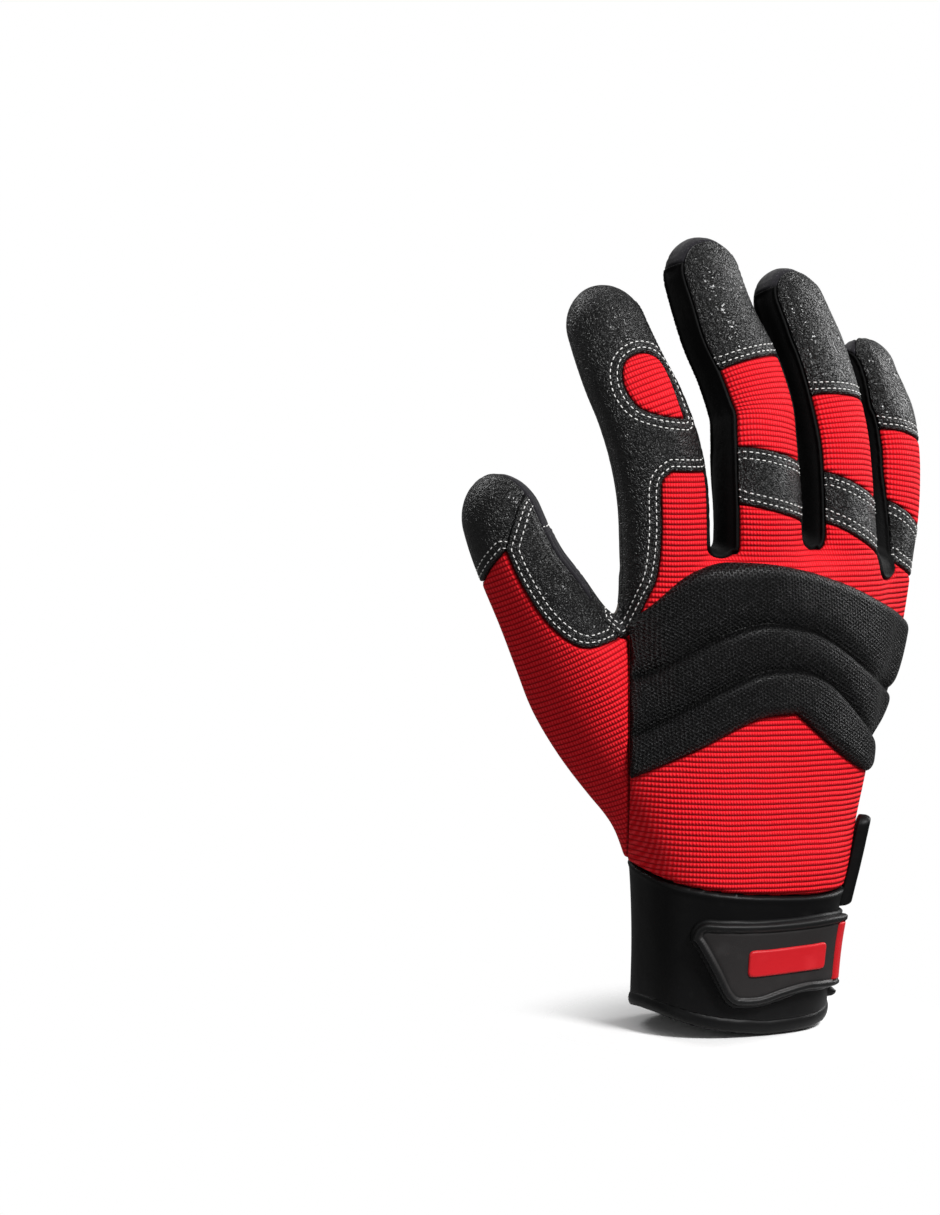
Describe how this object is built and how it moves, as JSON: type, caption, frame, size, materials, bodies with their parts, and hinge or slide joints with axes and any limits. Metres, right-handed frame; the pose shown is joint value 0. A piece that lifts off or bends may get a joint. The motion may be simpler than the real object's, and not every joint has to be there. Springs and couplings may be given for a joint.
{
  "type": "right-hand mechanic glove",
  "caption": "Padded work glove for a right hand, with ribbed knit back, knuckle guard, suede palm with grip pads, neoprene cuff and closing strap.",
  "frame": {"origin": "centre of the wrist opening, at the height of the hem", "axes": "+Z from the wrist to the fingertips, +X towards the little finger, -Y out through the back of the hand, which is turned 27 degrees towards +X"},
  "size_m": [0.1453, 0.0927, 0.2455],
  "materials": {
    "knit": "ribbed knit",
    "leather": "pebbled, half gloss",
    "guard_mesh": "padded air mesh",
    "side_fabric": "plain woven",
    "suede": "brushed, matt",
    "grip": "brushed and speckled, matt",
    "cuff_neoprene": "smooth laminated neoprene",
    "tab_rubber": "moulded, satin",
    "red_rubber": "moulded, satin",
    "thread": "twisted sewing thread"
  },
  "bodies": {
    "root": {"back_panel": "knit", "thumb_panel": "knit", "index_knit": "knit", "middle_knit": "knit", "ring_knit": "knit", "pinky_knit": "knit", "index_leather": "leather", "middle_tip": "leather", "ring_tip": "leather", "pinky_tip": "leather", "middle_strip": "leather", "ring_strip": "leather", "pinky_strip": "leather", "thumb_cap": "leather", "thumb_leather": "leather", "knuckle_guard": "guard_mesh", "fourchette_index": "side_fabric", "fourchette_middle": "side_fabric", "fourchette_ring": "side_fabric", "palm_panel": "suede", "index_palm_tip": "grip", "middle_palm_tip": "grip", "ring_palm_tip": "grip", "pinky_palm_tip": "grip", "thumb_palm_tip": "grip", "palm_pad": "grip", "heel_pad": "grip", "index_patch": "grip", "thumb_patch": "grip", "cuff_band": "cuff_neoprene", "cuff_hem": "cuff_neoprene", "slit_binding": "cuff_neoprene", "strap": "cuff_neoprene", "strap_tab": "tab_rubber", "tab_bar": "red_rubber", "tab_plate": "red_rubber"}
  },
  "joints": []
}
